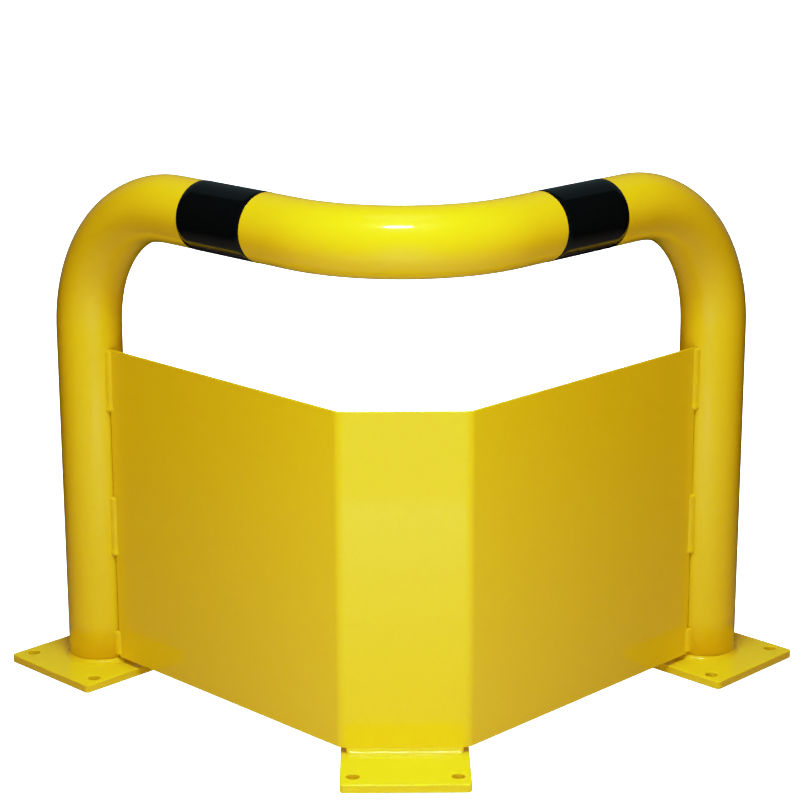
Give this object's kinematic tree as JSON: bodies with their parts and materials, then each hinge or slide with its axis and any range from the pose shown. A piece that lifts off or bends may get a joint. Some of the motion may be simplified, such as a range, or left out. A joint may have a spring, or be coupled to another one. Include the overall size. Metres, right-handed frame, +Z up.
{
  "type": "corner protection guard",
  "caption": "Welded steel corner guard for floor mounting: a bent tube hoop on foot plates with a folded underrun panel, powder coated yellow with black bands.",
  "frame": {"origin": "on the floor, under the middle of the guard's bounding box", "axes": "+Z up, -Y towards the guard's front corner (the side a vehicle comes from), +X across the two legs, so left is -X"},
  "size_m": [0.9354, 0.4898, 0.6103],
  "materials": {
    "yellow_powder_coat": "glossy signal-yellow powder coat over steel",
    "black_band": "glossy black film"
  },
  "bodies": {
    "root": {"hoop_tube": "yellow_powder_coat", "underrun_panel": "yellow_powder_coat", "front_foot_plate": "yellow_powder_coat", "front_foot_weld": "yellow_powder_coat", "left_foot_plate": "yellow_powder_coat", "left_foot_weld": "yellow_powder_coat", "left_black_band": "black_band", "left_lower_stitch_weld": "yellow_powder_coat", "left_middle_stitch_weld": "yellow_powder_coat", "left_upper_stitch_weld": "yellow_powder_coat", "right_foot_plate": "yellow_powder_coat", "right_foot_weld": "yellow_powder_coat", "right_black_band": "black_band", "right_lower_stitch_weld": "yellow_powder_coat", "right_middle_stitch_weld": "yellow_powder_coat", "right_upper_stitch_weld": "yellow_powder_coat"}
  },
  "joints": []
}
